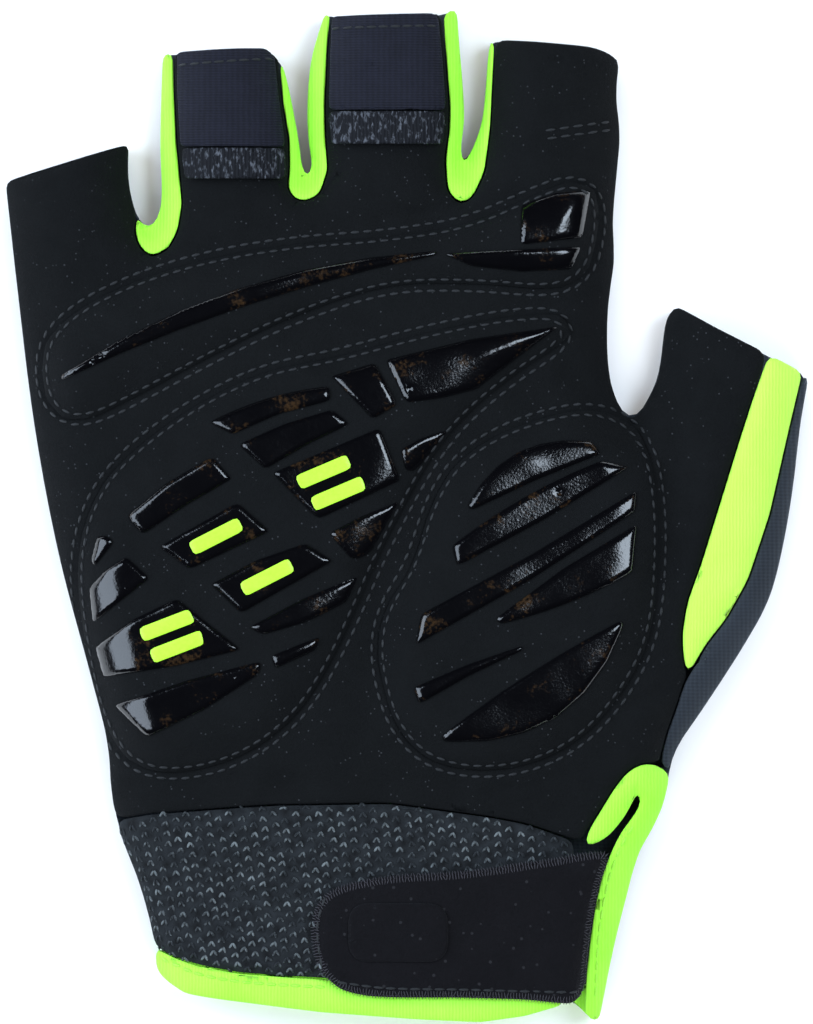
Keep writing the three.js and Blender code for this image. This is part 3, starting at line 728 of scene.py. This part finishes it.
# silicone prints and the plain bars on them
tile = {"sunk": 0.00005, "top": 0.00068, "bar": 0.00028, "round": 0.0004, "edge": 0.0004}
for node in sorted(nodes):
    if "_print_" not in node:
        continue
    padName = node.split("_print_")[0] + "_pad"
    title = node.replace("_print_", "Print")
    made[title] = layered(
        title, node, finishes["silicone"],
        lambda xy, depth, rim, padName=padName: padHeight(padName, xy, depth) + tile["sunk"],
        lambda xy, depth, rim, padName=padName: padHeight(padName, xy, depth) + tile["top"]
        - tile["round"] * np.exp(-((rim / tile["edge"]) ** 2)),
        step=0.0006, bevel=0, times=4, fade=0.0015,
    )
for node in sorted(nodes):
    if not node.startswith("accent_bar_"):
        continue
    title = node.replace("accent_bar_", "accentBar")
    made[title] = layered(
        title, node, finishes["accent"],
        lambda xy, depth, rim: padHeight("heel_pad", xy, depth) + tile["top"] + 0.00003,
        lambda xy, depth, rim: padHeight("heel_pad", xy, depth) + tile["top"] + tile["bar"],
        step=0.0012, bevel=0.0001, times=1, fade=0.001,
    )
print("stage: prints", flush=True)

# pull-off tabs, lifted at the free edge
tabs = {
    "ring": {"free": 0.829, "title": "ringTab"},
    "middle": {"free": 0.863, "title": "middleTab"},
}
tabThickness = 0.0013
tabLift = 0.001


def tabUnder(free):
    def height(xy, depth, rim):
        low = place(0, free)[1]
        top = place(0, free + 0.13)[1]
        lift = tabLift * np.clip((top - xy[:, 1]) / (top - low), 0, 1) ** 2
        return palmOuter(xy, depth) + form["gap"] + lift
    return height


for key, tab in tabs.items():
    under = tabUnder(tab["free"])
    for node, finish, slotName in [(f"{key}_tab", "tab", "navy"), (f"{key}_tab_edge", "speck", "navy_speck")]:
        title = tab["title"] + ("Edge" if node.endswith("edge") else "")
        made[title] = layered(
            title, node, finishes[finish], under,
            lambda xy, depth, rim, under=under: under(xy, depth, rim) + tabThickness - sewnEdge(rim) * 0.6,
            step=0.0012, bevel=0.0002, times=2,
        )
print("stage: tabs", flush=True)

# closure strap and its plain raised patch
strap = {"thickness": 0.0017, "tuck": 0.0011, "end": 0.0026, "drop": 0.0032, "grip": 0.0005}


def strapUnder(xy, depth, rim):
    share = np.clip((depth - strap["end"]) / strap["drop"], 0, 1)
    share = share * share * (3 - 2 * share)
    return palmOuter(xy, depth) + form["proud"] + form["gap"] - strap["tuck"] * (1 - share)


def strapOver(xy, depth, rim):
    return strapUnder(xy, depth, rim) + strap["thickness"] - 0.0005 * np.exp(-((rim / 0.0011) ** 2))


made["strap"] = layered("strap", "closure_strap", finishes["strap"], strapUnder, strapOver, times=3)
made["strapGrip"] = layered(
    "strapGrip", "strap_grip", finishes["strap"],
    lambda xy, depth, rim: strapOver(xy, depth, rim + 1) + 0.00003,
    lambda xy, depth, rim: strapOver(xy, depth, rim + 1) + strap["grip"],
    step=0.001, times=2,
)
print("stage: strap", flush=True)

# thread and loops lie on whatever is uppermost
bpy.context.view_layer.update()
graph = bpy.context.evaluated_depsgraph_get()
grounds = [BVHTree.FromObject(piece, graph) for name, piece in made.items() if name not in ("backCloth", "hemLower")]


def ground(x, y):
    best = None
    for tree in grounds:
        spot, normal, _, _ = tree.ray_cast(Vector((x, y, 0.06)), Vector((0, 0, -1)))
        if spot and (best is None or spot.z > best[0].z):
            best = (spot, normal)
    return best


roundBit = bpy.data.meshes.new("roundBit")
bm = bmesh.new()
bmesh.ops.create_uvsphere(bm, u_segments=8, v_segments=4, radius=1, matrix=Matrix.Rotation(math.pi / 2, 4, "Y"))
bm.to_mesh(roundBit)
bm.free()


def bead(bm, x, y, run, size, lift=0.0):
    # one small rounded length of thread, flat on the cloth, along the run
    found = ground(x, y)
    if not found:
        return
    spot, normal = found
    ahead = Vector((run[0], run[1], 0))
    ahead = (ahead - normal * ahead.dot(normal)).normalized()
    side = normal.cross(ahead)
    turn = Matrix((ahead, side, normal)).transposed().to_4x4()
    scale = Matrix.Diagonal((size[0], size[1], size[2], 1))
    matrix = Matrix.Translation(spot + normal * lift) @ turn @ scale
    bit = roundBit.copy()
    bit.transform(matrix)
    bm.from_mesh(bit)
    bpy.data.meshes.remove(bit)


stitch = {"pitch": 0.0021, "size": (0.00078, 0.00026, 0.0002)}


def stitchRow(bm, line, closed=True, pitch=None, size=None, lift=0.00004):
    spots = evenly(line, pitch or stitch["pitch"], closed)
    runs = np.roll(spots, -1, axis=0) - spots if closed else np.gradient(spots, axis=0)
    for (x, y), run in zip(spots, runs):
        bead(bm, x, y, run, size or stitch["size"], lift)


bm = bmesh.new()
for loop in padLoops.values():
    stitchRow(bm, softened(beside(loop, 0.0013), 6))
    stitchRow(bm, softened(beside(loop, -0.0006), 4))
finished("gelStitches", bm, finishes["thread"])
print("stage: gel zone stitches", flush=True)

# rows of stitches: line in shares of the glove, and thread
rows = {
    "indexStitches": ("thread", [[(0.678, 0.876), (0.746, 0.884)], [(0.680, 0.868), (0.747, 0.876)]]),
    "ringTabStitches": ("thread", [[(0.222, 0.940), (0.328, 0.946)]]),
    "middleTabStitches": ("thread", [[(0.412, 0.976), (0.530, 0.978)]]),
    "strapStitches": ("thread", [
        [(0.420, 0.040), (0.470, 0.035), (0.570, 0.033), (0.650, 0.031), (0.706, 0.030)],
        [(0.394, 0.060), (0.390, 0.080), (0.390, 0.100), (0.397, 0.119)],
    ]),
    "hemStitches": ("neonThread", [[(0.200, 0.060), (0.243, 0.047), (0.292, 0.040), (0.367, 0.036), (0.392, 0.035)]]),
    "slitStitches": ("neonThread", [[
        (0.734, 0.030), (0.737, 0.081), (0.743, 0.113), (0.751, 0.142), (0.763, 0.168), (0.777, 0.188),
    ]]),
}
for name, (thread, lines) in rows.items():
    bm = bmesh.new()
    for table in lines:
        stitchRow(bm, smoothLine(table, 8), closed=False, size=(0.0009, 0.00024, 0.0002))
    finished(name, bm, finishes[thread])
print("stage: seams stitched", flush=True)

# worn fibres stand out along the strap's edge
fuzz = {"pitch": 0.0005, "size": (0.00055, 0.00007, 0.00007), "rows": (-0.0007, -0.0001), "sway": 0.7}
bm = bmesh.new()
strapLoop = outlineOf("closure_strap", times=3)
for offset in fuzz["rows"]:
    spots = evenly(beside(strapLoop, offset), fuzz["pitch"])
    outwards = beside(spots, 1) - spots
    for (x, y), (across, along) in zip(spots, outwards):
        turn = fuzz["sway"] * noise.noise(Vector((x * 3000, y * 3000, offset * 9000)))
        run = (across * math.cos(turn) - along * math.sin(turn), across * math.sin(turn) + along * math.cos(turn))
        bead(bm, x, y, run, fuzz["size"], 0.00005)
finished("strapFuzz", bm, finishes["fuzz"])
print("stage: strap fibres", flush=True)

# knit loops of the cuff: each loop is two short strands that meet below
knit = {"column": 0.0019, "row": 0.0017, "strand": (0.00058, 0.00023, 0.00021), "spread": 0.0003}
cuffLow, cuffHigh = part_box("cuff_mesh")
cuffTree = BVHTree.FromObject(made["cuffCloth"], graph)
strapTree = BVHTree.FromObject(made["strap"], graph)
hemTree = BVHTree.FromObject(made["hemUpper"], graph)
down = Vector((0, 0, -1))
bm = bmesh.new()
columns = int((cuffHigh.x - cuffLow.x) / knit["column"]) + 6
rowCount = int((cuffHigh.y - cuffLow.y) / knit["row"]) + 1
for column in range(columns):
    for row in range(rowCount):
        y = cuffHigh.y - row * knit["row"] - (column % 2) * knit["row"] * 0.5
        x = cuffLow.x + column * knit["column"] + (cuffHigh.y - y) * 0.12 * (1 - column / columns) * 2
        sway = noise.noise_vector(Vector((x * 300, y * 300, 2)))
        x += sway.x * 0.0004
        y += sway.y * 0.0004
        above = Vector((x, y, 0.06))
        spot, normal, _, _ = cuffTree.ray_cast(above, down)
        if not spot or strapTree.ray_cast(above, down)[0] or hemTree.ray_cast(above, down)[0]:
            continue
        for side in (-1, 1):
            angle = math.radians(90 + side * 32 + sway.z * 30)
            bead(bm, x + side * knit["spread"], y, (math.cos(angle), math.sin(angle)), knit["strand"], 0.00006)
finished("cuffLoops", bm, finishes["loopYarn"])
print("stage: cuff loops", flush=True)

# floor, light and camera
floorFinish = Finish("floorPaper")
floorColor = floorFinish.mixed(floorFinish.grain(40, 3), (0.93, 0.93, 0.93, 1), (0.95, 0.95, 0.95, 1))
floorMaterial = floorFinish.surface(color=floorColor, roughness=0.9, specular=0.1)
bm = bmesh.new()
bmesh.ops.create_grid(bm, x_segments=1, y_segments=1, size=1.5, matrix=Matrix.Translation((0, 0, -0.0001)))
floorMesh = bpy.data.meshes.new("floor")
bm.to_mesh(floorMesh)
bm.free()
floorMesh.materials.append(floorMaterial)
floor = bpy.data.objects.new("floor", floorMesh)
scene.collection.objects.link(floor)

lights = {
    "softboxLeft": {"at": (-0.60, 0.02, 0.44), "size": (0.80, 0.62), "power": 8.0, "color": (0.72, 0.84, 1.0)},
    "softboxRight": {"at": (0.40, 0.16, 0.72), "size": (0.42, 0.42), "power": 5.4, "color": (0.74, 0.86, 1.0)},
    "fillFront": {"at": (0.05, -0.75, 0.70), "size": (0.9, 0.5), "power": 4.6, "color": (1.0, 0.97, 0.93)},
    "fillBack": {"at": (0.0, 0.80, 0.75), "size": (0.9, 0.5), "power": 4.6, "color": (1.0, 0.98, 0.95)},
}
for name, light in lights.items():
    data = bpy.data.lights.new(name, "AREA")
    data.shape = "RECTANGLE"
    data.size, data.size_y = light["size"]
    data.energy = light["power"]
    data.color = light["color"]
    lamp = bpy.data.objects.new(name, data)
    lamp.location = light["at"]
    lamp.rotation_euler = (Vector((0, 0, 0.005)) - lamp.location).to_track_quat("-Z", "Y").to_euler()
    lamp.visible_glossy = name.startswith("softbox")
    scene.collection.objects.link(lamp)

world = bpy.data.worlds.new("studio")
world.use_nodes = True
world.node_tree.nodes["Background"].inputs["Color"].default_value = (1.0, 1.0, 1.0, 1)
world.node_tree.nodes["Background"].inputs["Strength"].default_value = 0.24
world.cycles_visibility.glossy = False
scene.world = world
scene.view_settings.view_transform = "Standard"

eye = {"x": -0.00008, "y": 0.00015, "height": 1.5, "focus": 0.005, "fieldHeight": 0.1747}
cameraData = bpy.data.cameras.new("camera")
cameraData.sensor_width = 36
cameraData.lens = 18 / (eye["fieldHeight"] / 2 / (eye["height"] - eye["focus"]))
cameraData.clip_start, cameraData.clip_end = 0.05, 10
camera = bpy.data.objects.new("camera", cameraData)
camera.location = (eye["x"], eye["y"], eye["height"])
scene.collection.objects.link(camera)
scene.camera = camera
print("stage: floor, light and camera", flush=True)

# which node each cloth piece stands for
cloths = {
    "suedePalm": "palm_panel",
    "backCloth": "back_panel",
    "cuffCloth": "cuff_mesh",
    "strap": "closure_strap",
    "backOfThumb": "thumb_back",
    "stripeOnThumb": "thumb_stripe",
    "gapLittleRing": "fourchette_little_ring",
    "gapRingMiddle": "fourchette_ring_middle",
    "gapMiddleIndex": "fourchette_middle_index",
    "hemUpper": "hem_binding_palm",
    "hemLower": "hem_binding_back",
    "slitEdge": "slit_binding",
    "ringTab": "ring_tab",
    "middleTab": "middle_tab",
    "ringTabEdge": "ring_tab_edge",
    "middleTabEdge": "middle_tab_edge",
}
narrowest = 0.0101


def cutSize(node):
    # half of the solid's surface is the cloth's flat area, and its plan gives the width and length
    bm = mergedCopy(node)
    area = sum(face.calc_area() for face in bm.faces) / 2
    xy = np.array([vert.co.xy for vert in bm.verts])
    bm.free()
    centred = xy - xy.mean(axis=0)
    _, _, turned = np.linalg.svd(centred, full_matrices=False)
    spread = np.ptp(centred @ turned.T, axis=0)
    width = max(narrowest, float(spread[1]))
    return width, max(float(spread[0]), area / width), area


for name, node in cloths.items():
    width, length, area = cutSize(node)
